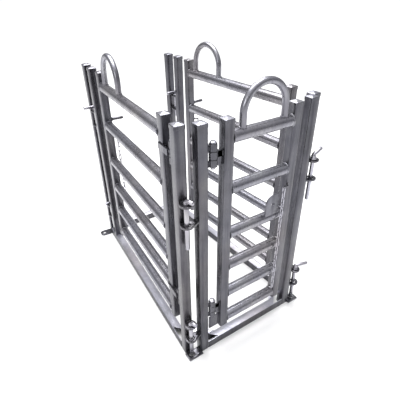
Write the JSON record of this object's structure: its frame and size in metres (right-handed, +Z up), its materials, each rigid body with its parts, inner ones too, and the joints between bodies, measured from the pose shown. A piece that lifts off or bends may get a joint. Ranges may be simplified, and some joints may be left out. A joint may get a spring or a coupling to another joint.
{
  "type": "livestock squeeze crate",
  "caption": "Galvanised livestock crate with hinged gates on three sides, hand loops, drop pins at the corners and an open rear.",
  "frame": {"origin": "middle of the whole crate's footprint, on the ground", "axes": "+X to the right along the front gate, +Y from the front gate to the open rear, +Z up"},
  "size_m": [0.7252, 1.1974, 1.2095],
  "materials": {
    "posts": "hot-dip galvanised square tube, satin grey with darker vertical streaks and weld runs",
    "gates": "hot-dip galvanised tube, satin grey with lighter top faces",
    "base": "hot-dip galvanised channel, bright flat web and dull legs",
    "hardware": "galvanised pins and keeper plate, slightly brighter than the tube",
    "chain": "zinc plated welded-link chain"
  },
  "bodies": {
    "frame": {"front_left_post": "posts", "front_right_post": "posts", "left_side_front_post": "posts", "left_side_latch_post": "posts", "left_side_rear_post": "posts", "right_side_front_post": "posts", "right_side_latch_post": "posts", "right_side_rear_post": "posts", "front_base_channel": "base", "rear_base_channel": "base", "left_base_channel": "base", "right_base_channel": "base", "left_corner_brace": "base", "right_corner_brace": "base", "front_gate_upper_hinge_pin": "hardware", "front_gate_lower_hinge_pin": "hardware", "left_gate_upper_hinge_pin": "hardware", "left_gate_lower_hinge_pin": "hardware", "right_gate_upper_hinge_pin": "hardware", "right_gate_lower_hinge_pin": "hardware"},
    "front_gate": {"front_gate_hinge_stile": "gates", "front_gate_latch_stile": "gates", "front_gate_rail_1": "gates", "front_gate_rail_2": "gates", "front_gate_rail_3": "gates", "front_gate_rail_4": "gates", "front_gate_rail_5": "gates", "front_gate_rail_6": "gates", "front_gate_hand_loop": "gates", "front_gate_latch_keeper": "hardware"},
    "left_gate": {"left_gate_hinge_stile": "gates", "left_gate_latch_stile": "gates", "left_gate_rail_1": "gates", "left_gate_rail_2": "gates", "left_gate_rail_3": "gates", "left_gate_rail_4": "gates", "left_gate_rail_5": "gates", "left_gate_rail_6": "gates", "left_gate_hand_loop": "gates"},
    "right_gate": {"right_gate_hinge_stile": "gates", "right_gate_latch_stile": "gates", "right_gate_rail_1": "gates", "right_gate_rail_2": "gates", "right_gate_rail_3": "gates", "right_gate_rail_4": "gates", "right_gate_rail_5": "gates", "right_gate_rail_6": "gates", "right_gate_hand_loop": "gates"},
    "front_latch_chain": {"front_latch_chain": "chain"},
    "left_latch_chain": {"left_latch_chain": "chain"},
    "right_latch_chain": {"right_latch_chain": "chain"},
    "front_left_upper_drop_pin": {"front_left_upper_drop_pin": "hardware"},
    "front_left_lower_drop_pin": {"front_left_lower_drop_pin": "hardware"},
    "front_right_upper_drop_pin": {"front_right_upper_drop_pin": "hardware"},
    "front_right_lower_drop_pin": {"front_right_lower_drop_pin": "hardware"},
    "rear_left_upper_drop_pin": {"rear_left_upper_drop_pin": "hardware"},
    "rear_left_lower_drop_pin": {"rear_left_lower_drop_pin": "hardware"},
    "rear_right_upper_drop_pin": {"rear_right_upper_drop_pin": "hardware"},
    "rear_right_lower_drop_pin": {"rear_right_lower_drop_pin": "hardware"}
  },
  "joints": [
    {"name": "front_gate_swing", "type": "hinge", "parent": "frame", "child": "front_gate", "pos_m": [-0.23164, -0.56067, 0.6], "axis": [0, 0, -1], "range_deg": [0, 100]},
    {"name": "left_gate_swing", "type": "hinge", "parent": "frame", "child": "left_gate", "pos_m": [-0.3284, -0.46645, 0.6], "axis": [0, 0, 1], "range_deg": [0, 95]},
    {"name": "right_gate_swing", "type": "hinge", "parent": "frame", "child": "right_gate", "pos_m": [0.29411, -0.46645, 0.6], "axis": [0, 0, -1], "range_deg": [0, 95]},
    {"name": "front_chain_swing", "type": "hinge", "parent": "front_gate", "child": "front_latch_chain", "pos_m": [0.09736, -0.59067, 0.767], "axis": [-1, 0, 0], "range_deg": [0, 60]},
    {"name": "left_chain_swing", "type": "hinge", "parent": "left_gate", "child": "left_latch_chain", "pos_m": [-0.24149, 0.30762, 0.76], "axis": [-0.063, -0.998, 0], "range_deg": [0, 60]},
    {"name": "right_chain_swing", "type": "hinge", "parent": "right_gate", "child": "right_latch_chain", "pos_m": [0.27307, 0.31177, 0.76], "axis": [0.063, -0.998, 0], "range_deg": [0, 60]},
    {"name": "front_left_upper_pin_lift", "type": "slide", "parent": "frame", "child": "front_left_upper_drop_pin", "axis": [0, 0, 1], "range_m": [0, 0.2]},
    {"name": "front_left_lower_pin_lift", "type": "slide", "parent": "frame", "child": "front_left_lower_drop_pin", "axis": [0, 0, 1], "range_m": [0, 0.2]},
    {"name": "front_right_upper_pin_lift", "type": "slide", "parent": "frame", "child": "front_right_upper_drop_pin", "axis": [0, 0, 1], "range_m": [0, 0.2]},
    {"name": "front_right_lower_pin_lift", "type": "slide", "parent": "frame", "child": "front_right_lower_drop_pin", "axis": [0, 0, 1], "range_m": [0, 0.2]},
    {"name": "rear_left_upper_pin_lift", "type": "slide", "parent": "frame", "child": "rear_left_upper_drop_pin", "axis": [0, 0, 1], "range_m": [0, 0.14]},
    {"name": "rear_left_lower_pin_lift", "type": "slide", "parent": "frame", "child": "rear_left_lower_drop_pin", "axis": [0, 0, 1], "range_m": [0, 0.17]},
    {"name": "rear_right_upper_pin_lift", "type": "slide", "parent": "frame", "child": "rear_right_upper_drop_pin", "axis": [0, 0, 1], "range_m": [0, 0.14]},
    {"name": "rear_right_lower_pin_lift", "type": "slide", "parent": "frame", "child": "rear_right_lower_drop_pin", "axis": [0, 0, 1], "range_m": [0, 0.17]}
  ]
}
